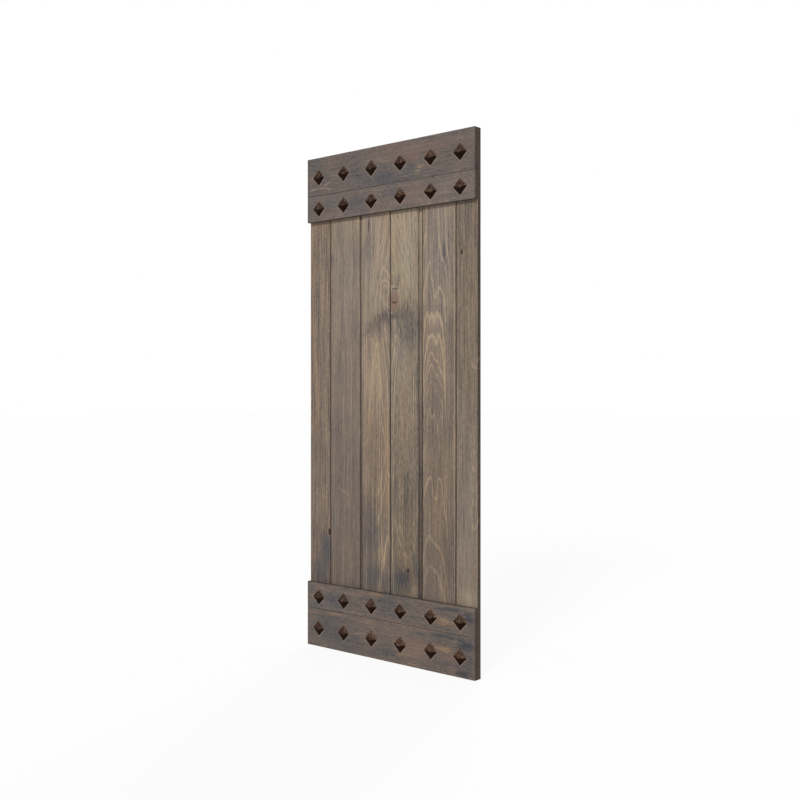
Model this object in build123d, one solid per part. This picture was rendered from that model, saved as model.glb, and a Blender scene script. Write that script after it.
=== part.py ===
from build123d import *
import os

# Barn door: six tongue-and-groove planks behind a two-board band at each end, with pyramid-headed studs.
# Millimetres. X runs along the width, the front faces -Y and +Z is up.
# The origin is the middle of the top edge of the top band, where the door is hung.

# Door
door_width = 914.4
door_height = 2133.6
plank_thickness = 19.05
board_thickness = 19.05

# Planks, left to right: the four middle ones have their own face widths, the two at the sides are ripped to fit
plank_2_face = 172.5
plank_3_face = 157.5
plank_4_face = 149.5
plank_5_face = 168.0
middle_seam_offset = 11.0
close_reveal = 1.5
reveal_2_3 = 12.5
reveal_4_5 = 22.0

# Tongue and groove
tongue_inset = 6.35
tongue_thickness = 6.35
tongue_reach = 8.0
tongue_clearance = 0.2
seam_bevel = 1.6

# Bands: an outer board at the end of the door and an inner board beside it
outer_board_height = 165.1
inner_board_height = 111.8
board_gap = 0.8
edge_ease = 1.2

# Studs: a square pyramid head turned on its corner, on a tapered square nail
stud_side = 47.6
stud_rim = 3.0
stud_pyramid_height = 6.5
stud_tip_side = 1.6
nail_root_side = 5.0
nail_tip_side = 2.0
nail_length = 15.0
nail_side_clearance = 0.1
nail_end_clearance = 0.5
studs_per_board = 6
stud_edge_inset = 71.0
stud_outer_bay = 147.5
upper_row_drop = 4.5
lower_row_drop = 0.8

# Planes that the pieces meet on
board_front = -board_thickness / 2
board_back = board_thickness / 2
plank_front = board_back
plank_back = plank_front + plank_thickness
tongue_front = plank_front + tongue_inset
tongue_back = tongue_front + tongue_thickness
left_side = -door_width / 2
right_side = door_width / 2
diamond = Rot(0, 45, 0)


def plain_edge(x, inward):
    """Edge of the door itself, back to front; inward is +1 on the left side and -1 on the right."""
    return [
        (x, plank_back),
        (x, plank_front + edge_ease),
        (x + inward * edge_ease, plank_front),
    ]


def groove_edge(seam):
    """Grooved left edge of a plank, back to front."""
    groove_bottom = seam + tongue_reach + tongue_clearance
    return [
        (seam, plank_back),
        (seam, tongue_back + tongue_clearance),
        (groove_bottom, tongue_back + tongue_clearance),
        (groove_bottom, tongue_front - tongue_clearance),
        (seam, tongue_front - tongue_clearance),
        (seam, plank_front + seam_bevel),
        (seam + seam_bevel, plank_front),
    ]


def tongue_edge(seam, reveal):
    """Tongued right edge of a plank, front to back; the face stops short of the seam by the reveal."""
    face_end = seam - reveal
    tongue_tip = seam + tongue_reach
    return [
        (face_end - seam_bevel, plank_front),
        (face_end, plank_front + seam_bevel),
        (face_end, tongue_front),
        (tongue_tip, tongue_front),
        (tongue_tip, tongue_back),
        (seam, tongue_back),
        (seam, plank_back),
    ]


def plank(left_edge, right_edge):
    """One full-height plank from the outlines of its two edges."""
    outline = Polyline(*left_edge, *right_edge, close=True)
    return extrude(make_face(outline), -door_height)


def spike(base_side, tip_side, length):
    """Square spike along +Y with its base centred on the origin."""
    tip_low = (base_side - tip_side) / 2
    tip_high = (base_side + tip_side) / 2
    return Wedge(
        base_side, length, base_side, tip_low, tip_low, tip_high, tip_high,
        align=(Align.CENTER, Align.MIN, Align.CENTER),
    )


def nail(side_clearance=0, end_clearance=0):
    """Tapered square nail running back from the stud's head, or with clearances the hole that it leaves."""
    return spike(
        nail_root_side + 2 * side_clearance,
        nail_tip_side + 2 * side_clearance,
        nail_length + end_clearance,
    )


def stud():
    """Stud with the back of its head at the origin and its point to the front."""
    rim = Pos(0, -stud_rim / 2, 0) * Box(stud_side, stud_rim, stud_side)
    point = Pos(0, -stud_rim, 0) * Rot(180, 0, 0) * spike(stud_side, stud_tip_side, stud_pyramid_height)
    return diamond * (rim + point + nail())


def band_board(top, height, columns, stud_row):
    """One full-width band board with eased front edges and a blind nail hole behind each stud."""
    board = Pos(0, 0, top - height / 2) * Box(door_width, board_thickness, height)
    front_face = board.faces().sort_by(Axis.Y)[0]
    board = fillet(front_face.edges(), edge_ease)
    hole = diamond * nail(nail_side_clearance, nail_end_clearance)
    for x in columns:
        board -= Pos(x, board_front, stud_row) * hole
    return board


# Seams, left to right
seam_3 = middle_seam_offset
seam_2 = seam_3 - close_reveal - plank_3_face
seam_1 = seam_2 - reveal_2_3 - plank_2_face
seam_4 = seam_3 + plank_4_face + reveal_4_5
seam_5 = seam_4 + plank_5_face + close_reveal
joints = [
    (seam_1, close_reveal),
    (seam_2, reveal_2_3),
    (seam_3, close_reveal),
    (seam_4, reveal_4_5),
    (seam_5, close_reveal),
]

# Planks
left_edges = [plain_edge(left_side, 1)]
right_edges = []
for seam, reveal in joints:
    right_edges.append(tongue_edge(seam, reveal))
    left_edges.append(groove_edge(seam))
right_edges.append(plain_edge(right_side, -1)[::-1])

pieces = {}
for number, edges in enumerate(zip(left_edges, right_edges), start=1):
    pieces[f"plank_{number}"] = plank(*edges)

# Stud columns: one at each side, the rest shared out evenly between their neighbours
outer_column = right_side - stud_edge_inset
second_column = outer_column - stud_outer_bay
inner_pitch = 2 * second_column / (studs_per_board - 3)
columns = [-outer_column]
for step in range(studs_per_board - 2):
    columns.append(-second_column + step * inner_pitch)
columns.append(outer_column)

# Bands: band, row, top edge and height of each board, and how far its studs sit below its middle
bottom_outer_top = -door_height + outer_board_height
bottom_inner_top = bottom_outer_top + board_gap + inner_board_height
boards = [
    ("top", "upper", 0, outer_board_height, upper_row_drop),
    ("top", "lower", -outer_board_height - board_gap, inner_board_height, lower_row_drop),
    ("bottom", "upper", bottom_inner_top, inner_board_height, upper_row_drop),
    ("bottom", "lower", bottom_outer_top, outer_board_height, lower_row_drop),
]
one_stud = stud()
for band, row, top, height, drop in boards:
    stud_row = top - height / 2 - drop
    pieces[f"{band}_band_{row}_board"] = band_board(top, height, columns, stud_row)
    for number, x in enumerate(columns, start=1):
        pieces[f"stud_{band}_{row}_{number}"] = Pos(x, board_front, stud_row) * one_stud

os.makedirs("parts", exist_ok=True)
for name, piece in pieces.items():
    piece.label = name
    export_step(piece, f"parts/{name}.step")
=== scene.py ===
import math
import random
from collections import namedtuple

import bmesh
import bpy
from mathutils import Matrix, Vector, noise


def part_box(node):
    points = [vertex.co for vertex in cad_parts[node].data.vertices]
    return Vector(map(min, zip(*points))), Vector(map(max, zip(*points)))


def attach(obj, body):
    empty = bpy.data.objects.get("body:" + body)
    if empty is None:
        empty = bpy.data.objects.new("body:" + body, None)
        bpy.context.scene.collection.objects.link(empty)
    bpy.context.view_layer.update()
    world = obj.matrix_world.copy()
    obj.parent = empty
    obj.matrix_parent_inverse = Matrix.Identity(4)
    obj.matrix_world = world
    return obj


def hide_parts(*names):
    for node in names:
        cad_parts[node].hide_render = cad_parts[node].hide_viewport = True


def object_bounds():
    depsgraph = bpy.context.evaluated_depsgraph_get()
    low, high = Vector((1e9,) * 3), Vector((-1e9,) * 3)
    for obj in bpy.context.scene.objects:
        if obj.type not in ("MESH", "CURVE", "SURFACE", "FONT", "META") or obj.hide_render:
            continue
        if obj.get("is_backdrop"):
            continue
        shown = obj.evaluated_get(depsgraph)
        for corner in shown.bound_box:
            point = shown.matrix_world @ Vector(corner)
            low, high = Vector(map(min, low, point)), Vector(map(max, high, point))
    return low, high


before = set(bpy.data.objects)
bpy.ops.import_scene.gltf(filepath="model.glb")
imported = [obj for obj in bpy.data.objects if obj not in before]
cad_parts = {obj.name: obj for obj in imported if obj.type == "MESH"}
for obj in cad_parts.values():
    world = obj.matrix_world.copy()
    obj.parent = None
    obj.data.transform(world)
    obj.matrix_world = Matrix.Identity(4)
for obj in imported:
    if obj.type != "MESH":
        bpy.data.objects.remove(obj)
cad_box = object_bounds()

MM = 0.001
BODY = "root"
PLANKS = sorted(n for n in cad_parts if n.startswith("plank_"))
BOARDS = sorted(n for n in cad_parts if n.endswith("_board"))
STUDS = sorted(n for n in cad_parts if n.startswith("stud_"))

# Finish of the timbers' shapes, in metres
PLANK_CORNER = 0.5 * MM
BOARD_CORNER = 1.2 * MM
RUN_ACROSS = 7 * MM
RUN_ALONG = 11 * MM
END_EASE = 0.7 * MM
FACE_WAVE = 0.22 * MM
DENTS_PER_METRE = 7
DENT_REACH = 3.2 * MM
SHARP_ANGLE = 34

# Finish of the studs
STUD_GRID = 30
STUD_RIM = 3.0 * MM
STUD_RIDGE_SHARPNESS = 14
STUD_HAMMERING = 0.30 * MM

# How a timber grew, in millimetres: the tree's heart across from its middle and behind its face, the
# grain's slope, the rings' width, waviness and strength, the strength of streaks and of small flecks,
# how much darker it is for each metre down, and the mean colour
Growth = namedtuple("Growth", "heart slope ring wave lines streaks fleck drift tone")
GROWTHS = {
    "plank_1": Growth((-400, 60), 0.006, 9, 9, 1.2, 1.45, 0.14, 0.13, (120, 105, 94)),
    "plank_2": Growth((-400, 60), 0.004, 10, 6, 0.8, 0.78, 0.13, 0.23, (122, 109, 99)),
    "plank_3": Growth((-400, 60), 0.000, 12, 9, 1.6, 0.72, 0.20, 0.23, (129, 115, 104)),
    "plank_4": Growth((400, 60), 0.000, 12, 9, 1.6, 0.84, 0.22, 0.25, (126, 114, 102)),
    "plank_5": Growth((-400, 60), 0.000, 11, 8, 0.4, 0.88, 0.20, 0.18, (126, 112, 101)),
    "plank_6": Growth((400, 60), 0.004, 9, 5, 0.3, 0.92, 0.16, -0.06, (126, 113, 101)),
    "top_band_upper_board": Growth((30, 110), 0.03, 7, 9, 0.20, 1.0, 0.30, 0, (105, 96, 91)),
    "top_band_lower_board": Growth((-60, 90), 0.02, 7, 8, 0.20, 1.0, 0.30, 0, (110, 100, 94)),
    "bottom_band_upper_board": Growth((20, 100), 0.02, 7, 9, 0.20, 1.2, 0.30, 0, (103, 94, 88)),
    "bottom_band_lower_board": Growth((-40, 100), 0.02, 7, 9, 0.20, 1.2, 0.30, 0, (105, 95, 89)),
}

# Flame figures in the grain: whether they point up or down, how rough their edges are, how far behind
# the tip their edge lies at places across the plank, the tips with the softness and strength of their
# pale edge, and how far behind the tip they fade out
Flame = namedtuple("Flame", "up rough outline tips reach")
FLAMES = {
    "plank_1": [
        Flame(
            1, 11, [(-457, 160), (-430, 40), (-412, 0), (-396, 70), (-375, 250)],
            [(-1440, 30, 0.45)], 200,
        ),
    ],
    "plank_3": [
        Flame(
            1, 8, [(-148, 520), (-100, 310), (-74, 232), (-56, 185), (-30, 113), (-7, 45), (9, 0)],
            [(-217, 13, 0.4), (-260, 15, 0.7), (-310, 13, 0.4), (-400, 13, 0.4)], 330,
        ),
        Flame(
            1, 6, [(-100, 330), (-80, 190), (-64, 89), (-48, 35), (-36, 10), (-25, 0), (-12, 14), (9, 40)],
            [(-504, 14, 0.8)], 200,
        ),
        Flame(
            1, 4, [(-60, 120), (-50, 52), (-46, 38), (-38, 12), (-28, 2), (-20, 0), (-8, 8), (9, 30)],
            [(-555, 12, 0.9), (-578, 10, 0.6)], 110,
        ),
        Flame(
            -1, 4, [(-55, 150), (-46, 95), (-38, 62), (-25, 28), (-10, 6), (5, 0), (9, 1)],
            [(-697, 12, 0.5), (-674, 10, 0.5)], 120,
        ),
        Flame(
            1, 11,
            [(-148, 640), (-105, 240), (-78, 40), (-62, 0), (-50, 60), (-40, 200), (-21, 310), (9, 490)],
            [(-815, 16, 0.9), (-905, 14, 0.5), (-1010, 14, 0.3)], 500,
        ),
        Flame(
            1, 11, [(-148, 1000), (-67, 300), (-50, 190), (-35, 125), (-21, 60), (-8, 0), (9, 25)],
            [(-1235, 12, 0.5), (-1345, 16, 0.7), (-1612, 50, 0.6), (-1745, 20, 0.3)], 380,
        ),
    ],
    "plank_4": [
        Flame(
            1, 8, [(11, 0), (32, 50), (62, 120), (88, 182), (117, 248), (140, 320), (160, 420)],
            [(-173, 14, 0.8), (-228, 13, 0.6), (-282, 15, 1.0), (-340, 13, 0.6), (-410, 13, 0.4)], 400,
        ),
        Flame(1, 4, [(11, 10), (30, 0), (45, 6), (58, 24), (66, 60), (70, 110)], [(-584, 10, 0.7)], 120),
        Flame(-1, 4, [(11, 4), (28, 0), (45, 14), (58, 40), (66, 74), (70, 110)], [(-702, 10, 0.6)], 110),
        Flame(
            -1, 8, [(11, 270), (28, 168), (59, 62), (104, 0), (138, 40), (152, 110), (160, 240)],
            [(-1705, 26, 0.45), (-1640, 12, 0.25), (-1590, 12, 0.2)], 240,
        ),
    ],
    "plank_5": [
        Flame(1, 4, [(184, 300), (188, 130), (198, 75), (203, 0), (208, 600)], [(-300, 12, 1.1)], 320),
        Flame(
            1, 4,
            [
                (258, 700), (264, 0), (267, 60), (269, 125), (277, 190), (293, 229), (303, 266),
                (307, 330), (312, 480),
            ],
            [(-278, 13, 1.4)], 500,
        ),
        Flame(
            1, 4, [(296, 700), (300, 0), (303, 110), (312, 171), (317, 223), (320, 290), (324, 420)],
            [(-300, 11, 1.2)], 420,
        ),
        Flame(
            1, 5,
            [
                (184, 200), (186, 132), (193, 92), (208, 37), (216, 8), (220, 0), (224, 20), (227, 53),
                (237, 100), (246, 144), (256, 128), (264, 112), (270, 109), (280, 120), (288, 145),
                (296, 177), (303, 260), (312, 420),
            ],
            [(-493, 15, 1.5)], 380,
        ),
        Flame(
            1, 5,
            [
                (184, 130), (191, 41), (200, 12), (208, 0), (215, 14), (220, 16), (229, 5), (238, 15),
                (244, 17), (252, 7), (260, 3), (270, 14), (284, 45), (291, 95), (297, 160), (304, 300),
            ],
            [(-699, 30, 1.2)], 300,
        ),
        Flame(
            1, 5,
            [
                (184, 180), (191, 107), (200, 51), (210, 18), (220, 3), (228, 0), (238, 4), (246, 20),
                (253, 30), (260, 12), (267, 1), (274, 14), (282, 50), (289, 94), (298, 190),
                (306, 330),
            ],
            [(-790, 20, 1.3)], 300,
        ),
        Flame(
            1, 7,
            [
                (184, 180), (190, 124), (200, 69), (215, 19), (222, 4), (227, 0), (233, 6), (240, 17),
                (248, 30), (256, 34), (264, 50), (275, 70), (286, 90), (293, 138), (302, 230),
                (310, 360),
            ],
            [(-861, 14, 0.9), (-913, 13, 0.6), (-977, 13, 0.35)], 260,
        ),
        Flame(
            1, 8,
            [
                (196, 160), (206, 60), (213, 12), (217, 0), (222, 14), (230, 40), (238, 30), (244, 22),
                (250, 40), (256, 59), (264, 100), (276, 200),
            ],
            [(-1082, 20, 0.6)], 220,
        ),
        Flame(
            1, 9,
            [
                (179, 160), (190, 75), (203, 28), (215, 6), (226, 0), (249, 14), (266, 46), (281, 80),
                (295, 122), (310, 220), (330, 420), (350, 680),
            ],
            [(-1358, 15, 0.9), (-1583, 20, 0.5), (-1704, 34, 0.35)], 320,
        ),
        Flame(-1, 6, [(215, 200), (238, 45), (245, 0), (252, 45), (275, 200)], [(-1552, 12, 0.7)], 120),
    ],
    "plank_6": [
        Flame(
            -1, 3, [(385, 500), (428, 43), (436, 15), (445, 0), (452, 15), (457, 34)],
            [
                (-1556, 11, 0.8), (-1462, 10, 0.5), (-1410, 10, 0.4), (-1330, 10, 0.6),
                (-1262, 10, 0.4), (-932, 10, 0.7),
            ],
            120,
        ),
    ],
}

# Marks on the timbers: kind, place and half sizes in millimetres from the middle of the door's top
# edge, strength, and how much they lean
Mark = namedtuple("Mark", "kind x z half_x half_z strength lean", defaults=(0,))
MARKS = {
    "plank_1": [
        Mark("mauve", -395, -760, 60, 420, 0.6),
        Mark("amber", -392, -1790, 60, 80, 0.7),
        Mark("knot", -341, -1630, 10, 20, 0.9),
        Mark("bend", -341, -1630, 30, 70, 0.8),
        Mark("blue", -362, -1705, 40, 95, 1.5),
        Mark("blue", -392, -1810, 70, 80, 1.1),
        Mark("tan", -412, -1520, 18, 110, 0.6),
        Mark("rust", -416, -1054, 14, 260, 0.5),
        Mark("rust", -440, -700, 10, 320, 0.6),
        Mark("tan", -385, -620, 8, 260, 0.5),
        Mark("blue", -370, -460, 30, 150, 0.2),
    ],
    "plank_2": [
        Mark("mauve", -235, -520, 100, 320, 1.0),
        Mark("amber", -245, -1740, 100, 220, 0.5),
        Mark("blue", -322, -451, 10, 50, 0.8),
        Mark("tan", -300, -640, 30, 320, 0.35),
        Mark("tan", -250, -1452, 44, 8, 0.8, -0.5),
    ],
    "plank_3": [
        Mark("amber", -70, -1400, 110, 620, 1.0),
        Mark("mauve", -85, -460, 95, 300, 1.0),
        Mark("amber", -70, -1760, 100, 110, 0.9),
        Mark("crack", -110, -318, 4, 50, 1.0),
        Mark("bend", -4, -640, 110, 330, 2.0),
        Mark("tan", -60, -420, 100, 200, 0.25),
        Mark("blue", -115, -420, 45, 110, 0.6),
        Mark("grey", -72, -742, 84, 46, 1.0, 0.42),
        Mark("grey", -12, -706, 38, 46, 1.0),
        Mark("fleck", -60, -760, 110, 130, 0.8),
        Mark("navy", 5, -730, 7, 60, 0.7),
        Mark("tan", -18, -760, 10, 40, 0.9),
        Mark("tan", -36, -830, 12, 50, 0.6),
        Mark("tan", -80, -940, 95, 190, 0.8),
        Mark("rust", -14, -1166, 12, 120, 0.8),
        Mark("rust", -4, -1291, 10, 120, 1.0),
        Mark("rust", -10, -1449, 12, 110, 0.8),
        Mark("blue", -105, -1620, 70, 190, 0.9),
        Mark("tan", -34, -1720, 28, 110, 0.6),
        Mark("blue", -70, -1800, 90, 90, 1.1),
    ],
    "plank_4": [
        Mark("amber", 85, -1640, 110, 400, 1.2),
        Mark("amber", 110, -1790, 70, 100, 1.3),
        Mark("mauve", 105, -440, 70, 200, 1.1),
        Mark("mauve", 85, -840, 80, 140, 0.8),
        Mark("tan", 80, -390, 110, 240, 0.5),
        Mark("tan", 26, -385, 16, 110, 0.7),
        Mark("tan", 100, -560, 80, 110, 0.4),
        Mark("bend", 26, -640, 110, 330, 2.2),
        Mark("pink", 27, -650, 33, 50, 1.0),
        Mark("blue", 33, -638, 18, 15, 0.7),
        Mark("knot", 26, -653, 12, 7, 0.6, -0.3),
        Mark("knot", 40, -653, 12, 7, 0.6, 0.3),
        Mark("knot", 38, -597, 26, 4.5, 0.5, -0.1),
        Mark("navy", 54, -566, 12, 30, 0.5, 1.2),
        Mark("grey", 112, -760, 75, 110, 1.1),
        Mark("grey", 62, -700, 50, 40, 0.9),
        Mark("fleck", 85, -770, 100, 140, 1.0),
        Mark("navy", 30, -712, 26, 14, 0.5),
        Mark("tan", 36, -738, 14, 34, 1.0),
        Mark("tan", 38, -800, 12, 36, 0.9),
        Mark("tan", 32, -860, 14, 40, 0.8),
        Mark("tan", 72, -960, 60, 110, 0.5),
        Mark("fleck", 85, -1270, 120, 420, 1.0),
        Mark("rust", 87, -1164, 80, 220, 0.4),
        Mark("grey", 90, -1430, 130, 260, 0.4),
        Mark("grey", 154, -1055, 10, 1100, 0.25),
        Mark("rust", 152, -620, 5, 60, 0.8),
        Mark("bend", 101, -1748, 60, 90, 0.8),
        Mark("knot", 106, -1750, 9, 13, 0.9),
        Mark("navy", 80, -1782, 44, 42, 0.8),
        Mark("blue", 66, -1800, 80, 75, 1.0),
        Mark("blue", 150, -1745, 26, 80, 0.7),
        Mark("tan", 132, -1830, 30, 60, 0.7),
    ],
    "plank_5": [
        Mark("mauve", 262, -480, 100, 340, 1.6),
        Mark("amber", 265, -1500, 110, 520, 1.0),
        Mark("tan", 345, -1100, 6, 1100, 0.8),
        Mark("dip", 246, -1420, 20, 150, 76),
        Mark("dip", 272, -1400, 20, 130, -60),
        Mark("dip", 240, -1630, 30, 150, 30),
        Mark("blue", 292, -466, 13, 36, 1.0),
        Mark("tan", 208, -536, 8, 26, 0.8),
        Mark("tan", 234, -735, 42, 42, 0.8),
        Mark("tan", 246, -812, 40, 30, 0.4),
        Mark("grey", 264, -1180, 80, 170, 0.3),
        Mark("grey", 330, -760, 26, 60, 0.4),
        Mark("grey", 310, -1640, 60, 160, 0.4),
    ],
    "plank_6": [
        Mark("mauve", 405, -1560, 70, 400, 0.5),
        Mark("amber", 405, -700, 70, 560, 0.7),
        Mark("knot", 379, -475, 6, 13, 0.9),
        Mark("bend", 379, -475, 16, 60, 0.5),
        Mark("grey", 405, -420, 70, 190, 0.3),
        Mark("grey", 405, -1050, 70, 420, 0.18),
        Mark("tan", 415, -1830, 60, 60, 0.7),
        Mark("rust", 440, -330, 10, 50, 0.6),
    ],
    "top_band_upper_board": [
        Mark("grey", -452, -80, 16, 130, 0.8),
        Mark("grey", -390, -70, 80, 90, 0.4),
        Mark("tan", -412, -136, 50, 5, 2.4, 0.05),
        Mark("tan", -340, -140, 44, 4, 2.0, -0.2),
        Mark("tan", -338, -120, 56, 4.5, 2.4, 0.4),
        Mark("tan", -385, -118, 20, 4, 1.6, 0.3),
        Mark("tan", -290, -89, 44, 4, 1.2, 0.1),
        Mark("blue", -410, -20, 70, 30, 0.7),
        Mark("blue", -165, -105, 80, 60, 0.5),
        Mark("blue", -60, -140, 120, 40, 0.9),
        Mark("brown", -310, -30, 90, 30, 0.7),
        Mark("brown", -60, -20, 110, 30, 0.4),
        Mark("brown", 80, -35, 110, 60, 0.7),
        Mark("brown", 158, -67, 50, 40, 0.8),
        Mark("tan", 184, -117, 26, 5, 2.2, 0.15),
        Mark("tan", 172, -132, 22, 4, 1.8, -0.2),
        Mark("brown", 215, -118, 40, 16, 0.7),
        Mark("blue", 125, -122, 40, 40, 0.9),
        Mark("blue", 30, -145, 70, 26, 0.7),
        Mark("brown", 280, -55, 90, 40, 0.7),
        Mark("blue", 360, -60, 80, 50, 0.4),
        Mark("tan", 330, -24, 90, 9, 0.6),
        Mark("brown", 436, -70, 30, 60, 0.3),
    ],
    "top_band_lower_board": [
        Mark("grey", -452, -225, 14, 90, 0.6),
        Mark("blue", -160, -225, 110, 50, 0.9),
        Mark("blue", -312, -215, 70, 50, 0.5),
        Mark("brown", -330, -250, 90, 30, 0.6),
        Mark("brown", -60, -250, 150, 30, 0.4),
        Mark("brown", 160, -205, 130, 30, 0.6),
        Mark("blue", 40, -200, 90, 40, 0.6),
        Mark("blue", 235, -190, 60, 22, 0.5),
        Mark("tan", 300, -225, 160, 60, 0.3),
        Mark("mauve", 330, -225, 140, 70, 0.9),
        Mark("mauve", -380, -225, 100, 70, 0.9),
        Mark("grey", -400, -225, 80, 70, 0.5),
    ],
    "bottom_band_upper_board": [
        Mark("navy", 424, -1900, 32, 28, 1.1),
        Mark("navy", 328, -1876, 90, 9, 1.0, 0.06),
        Mark("tan", 300, -1917, 34, 3.5, 2.0, -0.16),
        Mark("tan", 318, -1928, 26, 3, 1.8, -0.05),
        Mark("tan", 300, -1937, 26, 3, 1.6),
        Mark("rust", 300, -1930, 60, 18, 0.7),
        Mark("tan", -127, -1928, 10, 5, 1.8),
        Mark("brown", 361, -1943, 40, 10, 1.2),
        Mark("brown", -395, -1871, 40, 10, 0.9),
        Mark("brown", -308, -1868, 46, 9, 0.9),
        Mark("brown", -134, -1868, 40, 8, 1.0),
        Mark("rust", -53, -1866, 50, 8, 0.9),
        Mark("brown", 52, -1962, 60, 10, 0.8),
        Mark("crack", 160, -1930, 50, 1.6, 0.35, 0.12),
        Mark("crack", 160, -1943, 50, 1.6, 0.3, 0.12),
        Mark("blue", 30, -1905, 120, 50, 0.7),
        Mark("blue", -399, -1950, 50, 18, 1.0),
        Mark("blue", -270, -1925, 110, 50, 0.9),
    ],
    "bottom_band_lower_board": [
        Mark("navy", 408, -2003, 46, 24, 1.2),
        Mark("navy", 405, -2116, 44, 18, 1.2),
        Mark("navy", 305, -1986, 84, 9, 0.8),
        Mark("navy", 281, -2096, 60, 7, 0.5),
        Mark("tan", 288, -2036, 48, 3.5, 2.0, -0.33),
        Mark("tan", 305, -2031, 34, 3, 2.0, 0.1),
        Mark("tan", 318, -2040, 24, 3, 1.6, -0.1),
        Mark("rust", 300, -2036, 70, 18, 0.8),
        Mark("brown", 335, -2064, 90, 24, 0.9),
        Mark("tan", -156, -2042, 42, 4, 1.6, 0.12),
        Mark("tan", -118, -2038, 8, 5, 1.8),
        Mark("brown", 150, -2060, 90, 50, 1.0),
        Mark("tan", 150, -2060, 90, 60, 0.8),
        Mark("rust", 74, -2096, 26, 10, 0.7),
        Mark("brown", 169, -2019, 40, 9, 0.8),
        Mark("brown", -399, -1984, 50, 9, 0.9),
        Mark("rust", -290, -1979, 50, 8, 1.0),
        Mark("brown", -134, -1977, 40, 8, 0.9),
        Mark("brown", -53, -1978, 44, 9, 0.9),
        Mark("crack", 152, -2045, 50, 1.6, 0.35, 0.16),
        Mark("blue", -300, -2050, 150, 80, 0.7),
        Mark("grey", -330, -2050, 160, 90, 0.4),
        Mark("blue", -201, -2116, 70, 14, 1.0),
        Mark("blue", 3, -2096, 70, 16, 0.8),
        Mark("blue", 400, -2060, 50, 70, 0.9),
        Mark("grey", 440, -2050, 26, 90, 0.6),
        Mark("blue", -172, -2059, 60, 12, 0.7),
    ],
}

# Tints of the marks and metals, as they look in even light; the halo and the studs' facets carry painted
# light and shade
RUST = (150, 116, 84)
BROWN = (126, 102, 92)
ROSE = (128, 104, 98)
OLIVE = (116, 108, 92)
PINK = (138, 110, 98)
GREY = (92, 88, 84)
BLUE = (84, 86, 90)
NAVY = (66, 66, 72)
KNOT = (50, 42, 42)
# Painted highlight: the pale halo round the studs on the boards
HALO_HIGHLIGHT = (142, 127, 116)
# Stud facets as painted light and shade: the right one lit, the left and the lower ones shaded
BRONZE_RIGHT_LIT = (66, 50, 41)
BRONZE_LEFT_SHADED = (62, 45, 36)
BRONZE_SHADED_UNDER = (27, 14, 7)
# Wear on the studs, also standing for painted highlights
BRONZE_WEAR_AND_HIGHLIGHT = (138, 112, 94)
MARK_TINTS = {
    "blue": (BLUE, 0.45), "grey": (GREY, 0.3), "navy": (NAVY, 0.65),
    "rust": (RUST, 0.5), "brown": (BROWN, 0.6), "pink": (PINK, 0.8),
}
# Wide casts over the stain, as factors of its colour, and their shares
MARK_CASTS = {"amber": ((1.19, 1.00, 0.67, 1), 0.3), "mauve": ((0.89, 1.00, 1.16, 1), 0.4)}
# How much more or less stain the marks took
MARK_STAIN = {"blue": 0.22, "grey": 0.24, "navy": 0.16, "tan": -0.30, "rust": -0.20, "pink": -0.06}
# How ragged the edges of the marks are, where they aren't as ragged as most
MARK_RAGGED = {"bend": 0.0, "dip": 0.0, "navy": 0.75, "grey": 0.55, "knot": 0.25, "crack": 0.15}
MOST_RAGGED = 0.36
# Where a mark ends, in half sizes from its middle, and how much of it has its full strength, where it
# doesn't fade from its middle
MARK_END = 1.25
MARK_CORE = {"pink": 0.4, "knot": 0.2, "navy": 0.2}

# Seams: the rims of painted shade along a plank's face edges, as places across the door and their
# directions, its right face edge, its right seam, and the height above the plank's middle where the
# painted shadow on the far side of an open seam starts
Edges = namedtuple("Edges", "rims right seam dark")
# Whether the left and the right edge of a plank's face have a rim of painted shade
RIM_SIDES = {
    "plank_1": (0, 1), "plank_2": (1, 0), "plank_3": (0, 1),
    "plank_4": (1, 0), "plank_5": (0, 1), "plank_6": (1, 0),
}
RIM_WIDTH = 2.8
RIM_FULL = 0.4
RIM_STRENGTH = 0.55
DARK_FROM = {"plank_2": -200}
# Colours of the painted shade in the seams and of the tongue strip's darkening towards the bottom
PAINTED_SEAM_SHADE = (0.42, 0.39, 0.37, 1)
STRIP_SHADE = (0.66, 0.65, 0.65, 1)
OPEN_SEAM = 6 * MM
# How much less painted shade the wall of an open seam gets than other sides, and where painted shadow
# starts on its far side
WALL_LIGHT = 0.6
FAR_SIDE_INSET = 1.0
FAR_SIDE_SHARE = 0.35

# How much stronger the planks' grain is, for each metre up
FINER_UP = 0.35

# Noises in the wood, as sizes across, deep and along in millimetres: the two that fray the marks, and
# those that make the rings wander, their lines fade and the flames jagged and broken
FRAY = (9, 9, 45)
FRAY_ALONG = (12, 12, 40)
WANDER = (75, 75, 380)
FADE = (40, 40, 260)
JAG = (7, 7, 150)
BROKEN = (9, 9, 32)
# Sizes of fibres, pores, streaks and bands, and how detailed these noises are
GRAIN_SIZES = ((1.3, 1.3, 45), (2.6, 2.6, 13), (3.4, 3.4, 220), (12, 12, 380))
GRAIN_DETAIL = 3.0
NOISE_GAIN = 2.6
# How much steep edges of a flame are drawn out, how far a knot bends the rings in millimetres, and
# shares of the stain
STEEP_EDGES = 0.4
KNOT_BEND = 24
MEAN_STAIN = 0.46
RING_LINES = 0.45
RING_SHADE = 0.08
MARK_FLECKS = 0.22
KNOT_RINGS = 5
KNOT_RING_SHADE = 0.12
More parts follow.
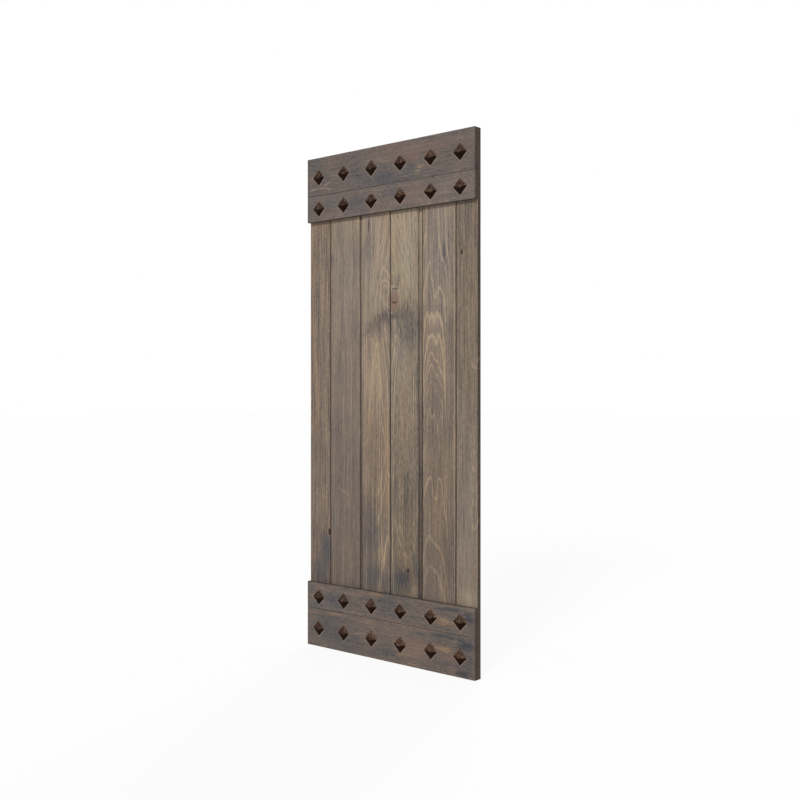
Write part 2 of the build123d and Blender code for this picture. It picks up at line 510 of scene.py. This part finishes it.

# Finish of a kind of timber: whether it stands upright, the shares of fibres, pores, streaks, bands and
# clouds in its stain, the sizes of the clouds and of the small flecks, the tints that wander over it
# with their sizes and share, the painted shade of its sides, ends and bevels, and the stain's colour
# steps, from where it took least to where it took most, as shares of the mean colour
Finish = namedtuple("Finish", "upright grain clouds flecks hues sides steps")
Hue = namedtuple("Hue", "sizes share cool warm")
PLANK_FINISH = Finish(
    True, (0.28, 0.26, 0.52, 0.16, 0.12), (60, 40, 150), (5, 5, 20),
    [Hue((34, 34, 200), 0.24, BLUE, RUST)], (0.40, 0.37, 0.36, 1),
    [
        (0.00, (1.90, 1.84, 1.54)),
        (0.25, (1.38, 1.36, 1.26)),
        (0.50, (1.00, 1.00, 1.00)),
        (0.75, (0.65, 0.68, 0.73)),
        (1.00, (0.33, 0.36, 0.42)),
    ],
)
BAND_FINISH = Finish(
    False, (0.26, 0.38, 0.28, 0.10, 0.24), (36, 36, 80), (4, 4, 22),
    [Hue((34, 34, 80), 0.42, BLUE, BROWN), Hue((14, 14, 24), 0.50, OLIVE, ROSE)], (0.52, 0.48, 0.45, 1),
    [
        (0.00, (2.10, 1.80, 1.40)),
        (0.25, (1.36, 1.27, 1.15)),
        (0.50, (1.00, 1.00, 1.00)),
        (0.75, (0.70, 0.76, 0.84)),
        (1.00, (0.36, 0.43, 0.56)),
    ],
)


def linear(colour):
    """Light values of a colour given as it looks on a screen, from 0 to 255."""
    shares = [c / 255 for c in colour]
    return tuple(s / 12.92 if s <= 0.04045 else ((s + 0.055) / 1.055) ** 2.4 for s in shares) + (1.0,)


def shaded(colour, factors):
    """A colour's light values times a factor each."""
    return tuple(c * f for c, f in zip(linear(colour), factors)) + (1.0,)


# Shapes


def new_piece(name, points, faces, node, material):
    """A piece of the door that stands for a CAD node and goes with the door's body."""
    mesh = bpy.data.meshes.new(name)
    mesh.from_pydata(points, [], faces)
    mesh.materials.append(material)
    mesh.shade_smooth()
    mesh.set_sharp_from_angle(angle=math.radians(SHARP_ANGLE))
    piece = bpy.data.objects.new(name, mesh)
    bpy.context.scene.collection.objects.link(piece)
    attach(piece, BODY)
    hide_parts(node)


def end_outline(node):
    """Outline of a plank's top end, as points across and deep, counter-clockwise from above."""
    shape = bmesh.new()
    shape.from_mesh(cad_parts[node].data)
    bmesh.ops.remove_doubles(shape, verts=shape.verts, dist=1e-6)
    shape.normal_update()
    following = {}
    for face in shape.faces:
        for loop in face.loops:
            caps = sum(f.normal.z > 0.9 for f in loop.edge.link_faces)
            if face.normal.z > 0.9 and caps == 1:
                following[loop.vert] = loop.link_loop_next.vert
    first = next(iter(following))
    outline = [first.co.xy.copy()]
    corner = following[first]
    while corner != first:
        outline.append(corner.co.xy.copy())
        corner = following[corner]
    shape.free()
    return outline


def box_outline(low, high):
    """Outline of a box's end, as points deep and high, counter-clockwise from the right."""
    return [Vector(p) for p in ((low.y, low.z), (high.y, low.z), (high.y, high.z), (low.y, high.z))]


def rounded(outline, radius, steps=3):
    """The outline with rounded corners, and a point just outside each rounding to keep the flats flat."""
    result = []
    for i, corner in enumerate(outline):
        before, after = outline[i - 1] - corner, outline[(i + 1) % len(outline)] - corner
        first, last = min(radius, before.length * 0.3), min(radius, after.length * 0.3)
        start, end = corner + before.normalized() * first, corner + after.normalized() * last
        result.append(corner + before.normalized() * first * 1.5)
        for step in range(steps + 1):
            t = step / steps
            result.append(start * (1 - t) ** 2 + corner * 2 * t * (1 - t) + end * t * t)
        result.append(corner + after.normalized() * last * 1.5)
    return result


def refined(outline, run):
    """The outline with its long runs cut into short ones."""
    result = []
    for i, point in enumerate(outline):
        gap = outline[(i + 1) % len(outline)] - point
        count = max(1, round(gap.length / run))
        result += [point + gap * (k / count) for k in range(count)]
    return result


def outward(outline):
    """Unit normals of a counter-clockwise outline, one for each point."""
    normals = []
    for i in range(len(outline)):
        along = outline[(i + 1) % len(outline)] - outline[i - 1]
        normals.append(Vector((along.y, -along.x)).normalized())
    return normals


def stations(start, end):
    """Places along a timber, with a close pair at each end for its eased edge."""
    count = round((end - start) / RUN_ALONG)
    inner = [start + END_EASE + (end - start - 2 * END_EASE) * k / count for k in range(count + 1)]
    return [start] + inner + [end]


def knocks(chance, start, end, corners):
    """Small dents along the front corners: corner, place, half length and depth."""
    made = []
    for _ in range(round((end - start) * DENTS_PER_METRE)):
        corner, place = chance.choice(corners), chance.uniform(start, end)
        made.append((corner, place, chance.uniform(6, 26) * MM, chance.uniform(0.3, 1.1) * MM))
    return made


def swept(outline, places, back, corners, put, chance):
    """Points and faces of a timber with slightly wavy faces and knocked front corners."""
    normals = outward(outline)
    middle = sum(corners, Vector((0, 0))) / len(corners)
    dents = knocks(chance, places[0], places[-1], corners)
    offset = Vector([chance.uniform(-50, 50) for _ in range(3)])
    points = []
    for row, place in enumerate(places):
        ease = END_EASE if row in (0, len(places) - 1) else 0
        near = [dent for dent in dents if abs(place - dent[1]) < dent[2]]
        for point, normal in zip(outline, normals):
            wave = noise.noise(Vector((point.x * 9, point.y * 9, place * 3)) + offset)
            shift = -normal * (FACE_WAVE * (0.5 + 0.5 * wave) + ease)
            for corner, centre, half, depth in near:
                gap = (point - corner).length
                if gap < DENT_REACH:
                    fade = (1 - ((place - centre) / half) ** 2) * (1 - gap / DENT_REACH)
                    shift += ((middle - corner).normalized() * 0.6 + back * 0.8) * depth * fade
            points.append(put(point + shift, place))
    size = len(outline)
    last = (len(places) - 1) * size
    faces = [tuple(reversed(range(size))), tuple(range(last, last + size))]
    for base in range(0, last, size):
        for i in range(size):
            j = (i + 1) % size
            faces.append((base + i, base + j, base + size + j, base + size + i))
    return points, faces


# Materials


class Field:
    """A value that changes over a surface: an output of a material's nodes."""

    def __init__(self, socket):
        self.socket = socket
        self.tree = socket.id_data

    def math(self, operation, other=None):
        node = add_node(self.tree, "Math", operation=operation)
        feed(node.inputs[0], self)
        if other is not None:
            feed(node.inputs[1], other)
        return Field(node.outputs[0])

    def __add__(self, other):
        return self.math("ADD", other)

    def __sub__(self, other):
        return self.math("SUBTRACT", other)

    def __mul__(self, other):
        return self.math("MULTIPLY", other)

    def __truediv__(self, other):
        return self.math("DIVIDE", other)

    def __abs__(self):
        return self.math("ABSOLUTE")

    def ramp(self, start, end, between="SMOOTHSTEP"):
        """From 0 at the start to 1 at the end, smoothly."""
        node = add_node(self.tree, "MapRange", interpolation_type=between)
        feed(node.inputs["Value"], self)
        node.inputs["From Min"].default_value = start
        node.inputs["From Max"].default_value = end
        return Field(node.outputs["Result"])


def add_node(tree, kind, **settings):
    node = tree.nodes.new("ShaderNode" + kind)
    for key, value in settings.items():
        setattr(node, key, value)
    return node


def feed(socket, value):
    """Sets a socket to a constant, or joins a field to it."""
    if isinstance(value, Field):
        socket.id_data.links.new(value.socket, socket)
    else:
        socket.default_value = value


def joined(tree, parts):
    """A vector field from three parts."""
    node = add_node(tree, "CombineXYZ")
    for socket, part in zip(node.inputs, parts):
        feed(socket, part)
    return Field(node.outputs[0])


def split(vector):
    """The three parts of a vector field."""
    node = add_node(vector.tree, "SeparateXYZ")
    feed(node.inputs[0], vector)
    return [Field(output) for output in node.outputs]


def stretched(vector, sizes, offset):
    """A vector field measured in the given sizes, moved by an offset."""
    node = add_node(vector.tree, "VectorMath", operation="MULTIPLY_ADD")
    feed(node.inputs[0], vector)
    node.inputs[1].default_value = [1 / s for s in sizes]
    node.inputs[2].default_value = offset
    return Field(node.outputs[0])


def smooth_noise(vector, sizes, chance, detail=2.0):
    """Noise from about -1 to 1, with grains of the given sizes."""
    offset = [chance.uniform(-90, 90) for _ in range(3)]
    node = add_node(vector.tree, "TexNoise")
    feed(node.inputs["Vector"], stretched(vector, sizes, offset))
    node.inputs["Scale"].default_value = 1.0
    node.inputs["Detail"].default_value = detail
    return (Field(node.outputs["Fac"]) - 0.5) * NOISE_GAIN


def random_of(number):
    """A random value from 0 to 1 for each number."""
    node = add_node(number.tree, "TexWhiteNoise", noise_dimensions="1D")
    feed(node.inputs["W"], number)
    return Field(node.outputs["Value"])


def mixed(amount, first, second, mode="MIX"):
    """A colour that goes from the first to the second as the amount goes from 0 to 1."""
    node = add_node(amount.tree, "Mix", data_type="RGBA", blend_type=mode)
    feed(node.inputs[0], amount)
    feed(node.inputs[6], first)
    feed(node.inputs[7], second)
    return Field(node.outputs[2])


def dimmed(colour, factor):
    """A colour times a field."""
    node = add_node(factor.tree, "Mix", data_type="RGBA", blend_type="MULTIPLY")
    node.inputs[0].default_value = 1.0
    feed(node.inputs[6], colour)
    feed(node.inputs[7], factor)
    return Field(node.outputs[2])


def shades(amount, stops, between="LINEAR"):
    """A colour from a row of stops, each a place from 0 to 1 and a colour."""
    node = add_node(amount.tree, "ValToRGB")
    node.color_ramp.interpolation = between
    feed(node.inputs["Fac"], amount)
    elements = node.color_ramp.elements
    while len(elements) < len(stops):
        elements.new(0.5)
    for element, (place, colour) in zip(elements, stops):
        element.position = place
        element.color = colour
    return Field(node.outputs["Color"])


def curve(share, points, between):
    """A curve through points, each a place and a height above 0, for a share from the first to the last."""
    start, end = points[0][0], points[-1][0]
    top = max(height for _, height in points)
    stops = [((place - start) / (end - start), (height / top,) * 3 + (1,)) for place, height in points]
    return shades(share, stops, between) * top


def new_material(name):
    """A material with its surface shader and the place on the door in millimetres."""
    material = bpy.data.materials.new(name)
    material.use_nodes = True
    tree = material.node_tree
    surface = next(n for n in tree.nodes if n.type == "BSDF_PRINCIPLED")
    place = Field(add_node(tree, "TexCoord").outputs["Object"])
    return material, surface, stretched(place, (MM, MM, MM), (0, 0, 0))


def normal_parts(tree):
    return split(Field(add_node(tree, "NewGeometry").outputs["Normal"]))


def bumped(surface, height, depth, strength):
    """Gives a surface fine relief, with its depth in metres."""
    node = add_node(surface.id_data, "Bump")
    feed(node.inputs["Height"], height)
    node.inputs["Distance"].default_value = depth
    node.inputs["Strength"].default_value = strength
    feed(surface.inputs["Normal"], Field(node.outputs["Normal"]))


def nearness(place, mark, noises):
    """From 0 at the ragged edge of a mark to 1 at its middle, for a place given as x, z and 0."""
    offset = (-mark.x / mark.half_x, -mark.z / mark.half_z, 0)
    if mark.lean:
        x, z, _ = split(place)
        place = joined(place.tree, (x, z - (x - mark.x) * mark.lean, 0.0))
    away = stretched(place, (mark.half_x, mark.half_z, 1), offset)
    ragged = MARK_RAGGED.get(mark.kind, MOST_RAGGED)
    if ragged:
        node = add_node(place.tree, "VectorMath", operation="MULTIPLY_ADD")
        feed(node.inputs[0], noises)
        node.inputs[1].default_value = (ragged, ragged, 0)
        feed(node.inputs[2], away)
        away = Field(node.outputs[0])
    length = add_node(place.tree, "VectorMath", operation="LENGTH")
    feed(length.inputs[0], away)
    return Field(length.outputs["Value"]).ramp(MARK_END, MARK_CORE.get(mark.kind, 0.0))


def steepness(outline):
    """How much an edge is drawn out in height at each point, to look about as wide as at the tip."""
    result = []
    for i, (place, _) in enumerate(outline):
        before, after = outline[max(i - 1, 0)], outline[min(i + 1, len(outline) - 1)]
        slope = (after[1] - before[1]) / (after[0] - before[0])
        result.append((place, math.sqrt(1 + (STEEP_EDGES * slope) ** 2)))
    return result


def flame_edges(x, z, flame, jag, dips):
    """Pale edges of a flame figure, sharp outside and soft inside."""
    share = x.ramp(flame.outline[0][0], flame.outline[-1][0], "LINEAR")
    behind = curve(share, flame.outline, "CARDINAL")
    steep = curve(share, steepness(flame.outline), "LINEAR")
    level = z * flame.up + behind + jag * flame.rough
    if dips:
        level = level + dips
    edges = []
    for tip, soft, strength in flame.tips:
        outside = (level - tip * flame.up) / steep
        edges.append(outside.ramp(-soft, -0.2 * soft) * outside.ramp(3.0, -0.1 * soft) * strength)
    return total(edges) * behind.ramp(flame.reach, flame.reach * 0.4)


def total(fields):
    result = fields[0]
    for field in fields[1:]:
        result = result + field
    return result


def stud_gap(x, z, node):
    """Distance from the nearest stud's outline on a board, in millimetres, and height above its middle."""
    low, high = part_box(node)
    nearest = None
    for stud_node in STUDS:
        stud_low, stud_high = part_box(stud_node)
        centre = (stud_low + stud_high) / 2 / MM
        if not low.z < centre.z * MM < high.z:
            continue
        gap = abs(x - centre.x) + abs(z - centre.z) - (stud_high.x - stud_low.x) / 2 / MM
        nearest = gap if nearest is None else nearest.math("MINIMUM", gap)
        row = centre.z
    return nearest, z - row


def wood(name, node, finish, edges=None):
    """Unevenly stained softwood with rings and knots, for one timber; a plank's edges have seams."""
    growth, marks, chance = GROWTHS[node], MARKS[node], random.Random(node)
    material, surface, place = new_material(name)
    x, y, z = split(place)
    low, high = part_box(node)
    middle = (low + high) / 2 / MM
    across, along = (x - middle.x, z - middle.z) if finish.upright else (z - middle.z, x - middle.x)
    depth = y - low.y / MM
    grain = joined(place.tree, (across, depth, along))

    # Marks, with ragged edges, and how much of each kind there is
    rag = smooth_noise(grain, FRAY, chance, GRAIN_DETAIL)
    noises = joined(place.tree, (rag, smooth_noise(grain, FRAY_ALONG, chance, GRAIN_DETAIL), 0.0))
    flat = joined(place.tree, (x, z, 0.0))
    near = [(mark, nearness(flat, mark, noises)) for mark in marks]
    amount = {}
    for mark, share in near:
        amount.setdefault(mark.kind, []).append(share * mark.strength)
    amount = {kind: total(shares) for kind, shares in amount.items()}

    # Rings of the tree, bent round the knots
    heart_across = across - growth.heart[0] - along * growth.slope
    heart_depth = depth + growth.heart[1]
    radius = (heart_across * heart_across + heart_depth * heart_depth).math("SQRT")
    radius = radius + smooth_noise(grain, WANDER, chance) * growth.wave + rag * 0.8
    bent = grain
    if "bend" in amount:
        bend = amount["bend"] * KNOT_BEND
        radius = radius + bend
        bent = joined(place.tree, (across + bend * math.copysign(1, -growth.heart[0]), depth, along))
    rings = radius / growth.ring
    phase = rings.math("FRACT")
    luck = random_of(rings.math("FLOOR") + chance.uniform(0, 90))
    fade = smooth_noise(grain, FADE, chance).ramp(-0.8, 0.2)
    late = phase.ramp(0.5, 0.8) * phase.ramp(1.0, 0.9)
    pale = late * luck * luck * fade * (growth.lines * RING_LINES)
    jag = smooth_noise(grain, JAG, chance, GRAIN_DETAIL)
    broken = smooth_noise(grain, BROKEN, chance).ramp(-0.7, 0.5)
    shown = (fade * 0.35 + 0.30) * (broken * 0.75 + 0.45)
    for flame in FLAMES.get(node, []):
        pale = pale + flame_edges(x, z, flame, jag, amount.get("dip")) * shown

    # Fibres, pores, streaks, bands and clouds of stain
    layers = [smooth_noise(bent, size, chance, GRAIN_DETAIL) for size in (*GRAIN_SIZES, finish.clouds)]
    fibre, pores, streak = layers[:3]
    *fine_layers, cloud = layers
    *fine_shares, cloud_share = finish.grain
    fine = total([field * share for field, share in zip(fine_layers, fine_shares)]) * growth.streaks
    if finish.upright:
        fine = fine * (along * (FINER_UP * MM) + 1)
    fleck = smooth_noise(grain, finish.flecks, chance)
    flecks = amount["fleck"] * MARK_FLECKS + growth.fleck if "fleck" in amount else growth.fleck
    ring_shade = phase * RING_SHADE * growth.lines ** 0.5
    stain = fine + cloud * cloud_share + fleck * flecks + ring_shade + MEAN_STAIN - pale
    # Darker towards the bottom, by the drift for each metre down
    stain = stain - along * (growth.drift * MM)
    for kind, more in MARK_STAIN.items():
        if kind in amount:
            stain = stain + amount[kind] * more
    if "pink" in amount:
        knot_rings = (amount["pink"] * KNOT_RINGS).math("FRACT").ramp(0.5, 0.9)
        stain = stain + knot_rings * amount["pink"].ramp(0.05, 0.3) * KNOT_RING_SHADE
    colour = shades(stain, [(step, shaded(growth.tone, factors)) for step, factors in finish.steps])

    # Tints that wander along the grain, and those of the marks
    for sizes, share, cool, warm in finish.hues:
        hue = smooth_noise(grain, sizes, chance)
        colour = mixed(hue.ramp(0.10, 0.9) * share, colour, linear(cool))
        colour = mixed(hue.ramp(-0.10, -0.9) * share, colour, linear(warm))
    for kind, (cast, share) in MARK_CASTS.items():
        if kind in amount:
            colour = mixed(amount[kind] * share, colour, cast, "MULTIPLY")
    for kind, (tint, share) in MARK_TINTS.items():
        if kind in amount:
            colour = mixed(amount[kind] * share, colour, linear(tint))
    dark = [(mark, share) for mark, share in near if mark.kind in ("knot", "crack")]
    if dark:
        cores = total([share.ramp(0.25, 0.7) * mark.strength for mark, share in dark])
        colour = mixed(cores, colour, linear(KNOT))

    # Painted shade: sides, ends and bevels darkened for the light they miss, less so on an open seam's wall
    facing = abs(normal_parts(place.tree)[1])
    side_shade = facing.ramp(0.95, 0.60)
    if edges and edges.seam > edges.right:
        strip_wall = depth.ramp(0.4, 1.6) * depth.ramp(7.2, 6.2) * (x - edges.right).ramp(-3.0, -1.0)
        side_shade = side_shade * (strip_wall * -WALL_LIGHT + 1.0)
    colour = mixed(side_shade, colour, finish.sides, "MULTIPLY")
    # Painted shade in the seams: rims at the face edges, the tongue strip of an open seam darker towards
    # the bottom, and a painted shadow on the strip's far side
    if edges:
        for rim, inward in edges.rims:
            near_rim = (x - rim).ramp(RIM_WIDTH * inward, RIM_FULL * inward)
            colour = mixed(near_rim * RIM_STRENGTH, colour, PAINTED_SEAM_SHADE, "MULTIPLY")
        strip = depth.ramp(2.8, 4.5) * depth.ramp(14, 12) * facing.ramp(0.35, 0.75)
        colour = mixed(strip * along.ramp(700, -700), colour, STRIP_SHADE, "MULTIPLY")
        dark_from = edges.seam - FAR_SIDE_INSET - FAR_SIDE_SHARE * (edges.seam - edges.right)
        far_side_shadow = (x - dark_from).ramp(-1, 1) * (along * -1 + edges.dark).ramp(-200, 200)
        colour = mixed(strip * far_side_shadow, colour, PAINTED_SEAM_SHADE, "MULTIPLY")
    else:
        # Painted highlight: a pale halo round each stud, strongest below its middle
        gap, above = stud_gap(x, z, node)
        halo_highlight = gap.ramp(0.5, 3.0) * gap.ramp(10.0, 4.0) * (above.ramp(14, -14) * 0.55 + 0.20)
        colour = mixed(halo_highlight, colour, linear(HALO_HIGHLIGHT))

    feed(surface.inputs["Base Color"], colour)
    feed(surface.inputs["Roughness"], stain * 0.2 + 0.55)
    surface.inputs["Specular IOR Level"].default_value = 0.15
    bumped(surface, fibre * 0.5 + pores * 0.3 + streak * 0.3 + pale, 0.5 * MM, 0.5)
    return material


def bronze(name):
    """Dark cast metal with painted light on its upper faces and painted shade on its lower ones, and wear
    with painted highlights at its point, along its ridges and round its outline.
    """
    chance = random.Random(name)
    material, surface, place = new_material(name)
    x, _, z = split(place)
    share = split(Field(add_node(place.tree, "TexCoord").outputs["Generated"]))
    across, up = share[0] * 2 - 1, share[2] * 2 - 1
    mottle = smooth_noise(place, (8, 8, 11), chance, 3.0)
    grit = smooth_noise(place, (2.2, 2.2, 2.2), chance)
    # Painted light and shade: the right upper facet lighter than the left, the upper facets lit and the
    # lower ones shaded, their border sagging below the point
    side = mixed((across + mottle * 0.10).ramp(-0.08, 0.12), linear(BRONZE_LEFT_SHADED), linear(BRONZE_RIGHT_LIT))
    # Brighter towards the door's right and towards the bottom of the bottom band, on upper and lower facets
    lower = z.ramp(-1850, -2050)
    side = dimmed(side, x.ramp(-450, 450) * 0.45 + lower * 0.35 + 0.72)
    sag = abs(across).ramp(0.7, 0.0) * 0.14
    lit_upper_facets = (up + sag + mottle * 0.06).ramp(-0.07, 0.05)
    # Worn spots, ridge and outline, partly wear and partly painted highlights
    ridge_wear_and_highlight = abs(across).ramp(0.10, 0.0) * mottle.ramp(-0.5, 0.5) * 0.3
    outline = (abs(across) + abs(up)).ramp(0.80, 0.96) * (mottle * 0.2 + 0.3)
    side = mixed(mottle.ramp(0.15, 0.65) * 0.34 + ridge_wear_and_highlight + outline, side, linear(BRONZE_WEAR_AND_HIGHLIGHT))
    colour = mixed(lit_upper_facets, dimmed(linear(BRONZE_SHADED_UNDER), lower * 0.35 + 1.0), side)
    colour = dimmed(colour, mottle * 0.9 + grit * 0.6 + 1.0)
    feed(surface.inputs["Base Color"], colour)
    feed(surface.inputs["Roughness"], grit * 0.1 + 0.62)
    surface.inputs["Specular IOR Level"].default_value = 0.04
    bumped(surface, mottle * 0.6 + grit * 0.4, 0.5 * MM, 0.5)
    return material


# Pieces


def plank(node):
    """One upright plank, swept along its tongue-and-groove outline."""
    chance = random.Random(node + "_shape")
    low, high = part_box(node)
    outline = refined(rounded(end_outline(node), PLANK_CORNER), RUN_ACROSS)
    front = [p for p in outline if p.y - low.y < 0.1 * MM]
    corners = [min(front, key=lambda p: p.x), max(front, key=lambda p: p.x)]
    points, faces = swept(
        outline, stations(low.z, high.z), Vector((0, 1)), corners,
        lambda p, place: (p.x, p.y, place), chance,
    )
    left, right = (corner.x for corner in corners)
    seam = max(p.x for p in outline if high.y - p.y < 0.1 * MM)
    sides = zip((left, right), (1, -1), RIM_SIDES[node])
    rims = [(x / MM, inward) for x, inward, has_rim in sides if has_rim]
    seam = seam if seam - right > OPEN_SEAM else right
    edges = Edges(rims, right / MM, seam / MM, DARK_FROM.get(node, high.z / MM + 2000))
    stain = wood(node + "_stain", node, PLANK_FINISH, edges)
    new_piece(node + "_wood", points, faces, node, stain)


def board(node):
    """One level board of a band."""
    chance = random.Random(node + "_shape")
    low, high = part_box(node)
    outline = refined(rounded(box_outline(low, high), BOARD_CORNER), RUN_ACROSS)
    corners = [Vector((low.y, low.z)), Vector((low.y, high.z))]
    points, faces = swept(
        outline, stations(low.x, high.x), Vector((1, 0)), corners,
        lambda p, place: (place, p.x, p.y), chance,
    )
    stain = wood(node + "_stain", node, BAND_FINISH)
    new_piece(node + "_wood", points, faces, node, stain)


def stud(node, seat, material):
    """One square stud set on its corner: a low pyramid with soft ridges and hammered faces."""
    chance = random.Random(node)
    low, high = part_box(node)
    middle = (low + high) / 2
    half = (high.x - low.x) / 2 / math.sqrt(2)
    rise = seat - low.y - STUD_RIM
    offset = Vector([chance.uniform(-50, 50) for _ in range(3)])
    count = STUD_GRID + 1

    def put(i, j, lift, shrink=1.0):
        u, v = (2 * i / STUD_GRID - 1) * shrink * half, (2 * j / STUD_GRID - 1) * shrink * half
        return (middle.x + (u - v) / math.sqrt(2), seat - lift, middle.z + (u + v) / math.sqrt(2))

    points, faces = [], []
    for i in range(count):
        for j in range(count):
            u, v = 2 * i / STUD_GRID - 1, 2 * j / STUD_GRID - 1
            power = STUD_RIDGE_SHARPNESS
            edge = (abs(u) ** power + abs(v) ** power) ** (1 / power)
            hammer = noise.noise(Vector((u * 3.2, v * 3.2, 0)) + offset)
            lift = STUD_RIM + rise * max(0, 1 - edge) - STUD_HAMMERING * (0.5 + 0.5 * hammer)
            border = i in (0, STUD_GRID) or j in (0, STUD_GRID)
            points.append(put(i, j, lift, 0.988 if border else 1.0))
    for i in range(STUD_GRID):
        for j in range(STUD_GRID):
            a = i * count + j
            faces.append((a, a + count, a + count + 1, a + 1))
    # Rim: one ring just under the top edge and one on the board
    sides = range(STUD_GRID)
    border = [(i, 0) for i in sides] + [(STUD_GRID, j) for j in sides]
    border += [(STUD_GRID - i, STUD_GRID) for i in sides] + [(0, STUD_GRID - j) for j in sides]
    ring = [i * count + j for i, j in border]
    for lift in (STUD_RIM * 0.75, 0.0):
        lower = list(range(len(points), len(points) + len(border)))
        points += [put(i, j, lift) for i, j in border]
        for k in range(len(ring)):
            m = (k + 1) % len(ring)
            faces.append((ring[k], lower[k], lower[m], ring[m]))
        ring = lower
    faces.append(tuple(reversed(ring)))
    new_piece(node + "_head", points, faces, node, material)


for node in PLANKS:
    plank(node)
for node in BOARDS:
    board(node)
board_front = min(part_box(node)[0].y for node in BOARDS)
stud_material = bronze("stud_bronze")
for node in STUDS:
    stud(node, board_front, stud_material)

# Camera at the photograph's viewing angle, level, with the horizon a little above the middle
CAMERA_PLACE = (2.841, -3.2435, -1.0201)
CAMERA_AZIMUTH = 40.5
CAMERA_LENS = 46.93
CAMERA_SHIFT = -0.01075
scene = bpy.context.scene
camera = bpy.data.objects.new("camera", bpy.data.cameras.new("camera"))
scene.collection.objects.link(camera)
camera.location = CAMERA_PLACE
camera.rotation_euler = (math.radians(90), 0, math.radians(CAMERA_AZIMUTH))
camera.data.lens = CAMERA_LENS
camera.data.shift_y = CAMERA_SHIFT
scene.camera = camera
scene.view_settings.view_transform = "Standard"

# Light: a soft key from the front, a weaker lamp behind and an even sky
KEY_STRENGTH = 1.87
REAR_STRENGTH = 1.3
SKY_STRENGTH = 0.33
FLOOR_SIZE = 40.0
FLOOR_GLOW = 0.90
FLOOR_GREY = (0.8, 0.8, 0.8, 1)
WHITE = (1, 1, 1, 1)


def sun(name, azimuth, elevation, strength, softness):
    """A lamp at an azimuth counted as 0 in front and 90 at the right, in degrees."""
    lamp = bpy.data.lights.new(name, "SUN")
    lamp.energy = strength
    lamp.angle = math.radians(softness)
    holder = bpy.data.objects.new(name, lamp)
    a, e = math.radians(azimuth), math.radians(elevation)
    away = Vector((math.sin(a) * math.cos(e), -math.cos(a) * math.cos(e), math.sin(e)))
    holder.rotation_euler = (-away).to_track_quat("-Z", "Y").to_euler()
    scene.collection.objects.link(holder)


def seen_directly(tree):
    """1 for what the camera, a reflection or glass sees, and 0 for light that only falls on things."""
    path = add_node(tree, "LightPath")
    rays = [Field(path.outputs[f"Is {kind} Ray"]) for kind in ("Camera", "Glossy", "Transmission")]
    return rays[0].math("MAXIMUM", rays[1]).math("MAXIMUM", rays[2])


def floor(height):
    """A pale floor that shows white and keeps a faint shadow."""
    mesh = bpy.data.meshes.new("floor")
    corners = ((-1, -1), (1, -1), (1, 1), (-1, 1))
    mesh.from_pydata([(x * FLOOR_SIZE, y * FLOOR_SIZE, height) for x, y in corners], [], [(0, 1, 2, 3)])
    piece = bpy.data.objects.new("floor", mesh)
    scene.collection.objects.link(piece)
    piece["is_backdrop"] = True
    material = bpy.data.materials.new("floor_white")
    material.use_nodes = True
    mesh.materials.append(material)
    tree = material.node_tree
    tree.nodes.remove(next(n for n in tree.nodes if n.type == "BSDF_PRINCIPLED"))
    output = next(n for n in tree.nodes if n.type == "OUTPUT_MATERIAL")
    direct = seen_directly(tree)
    matte = add_node(tree, "BsdfDiffuse")
    feed(matte.inputs["Color"], mixed(direct, FLOOR_GREY, WHITE))
    glow = add_node(tree, "Emission")
    blend = add_node(tree, "MixShader")
    feed(blend.inputs[0], direct * FLOOR_GLOW)
    tree.links.new(matte.outputs[0], blend.inputs[1])
    tree.links.new(glow.outputs[0], blend.inputs[2])
    tree.links.new(blend.outputs[0], output.inputs["Surface"])


sun("key", 18, 32, KEY_STRENGTH, 14)
sun("rear", 205, 35, REAR_STRENGTH, 20)
world = bpy.data.worlds.new("studio")
world.use_nodes = True
scene.world = world
sky = next(n for n in world.node_tree.nodes if n.type == "BACKGROUND")
sky.inputs["Color"].default_value = WHITE
feed(sky.inputs["Strength"], seen_directly(world.node_tree) * (1 - SKY_STRENGTH) + SKY_STRENGTH)
floor(cad_box[0].z)

[[list(corner) for corner in box] for box in (cad_box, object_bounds())]
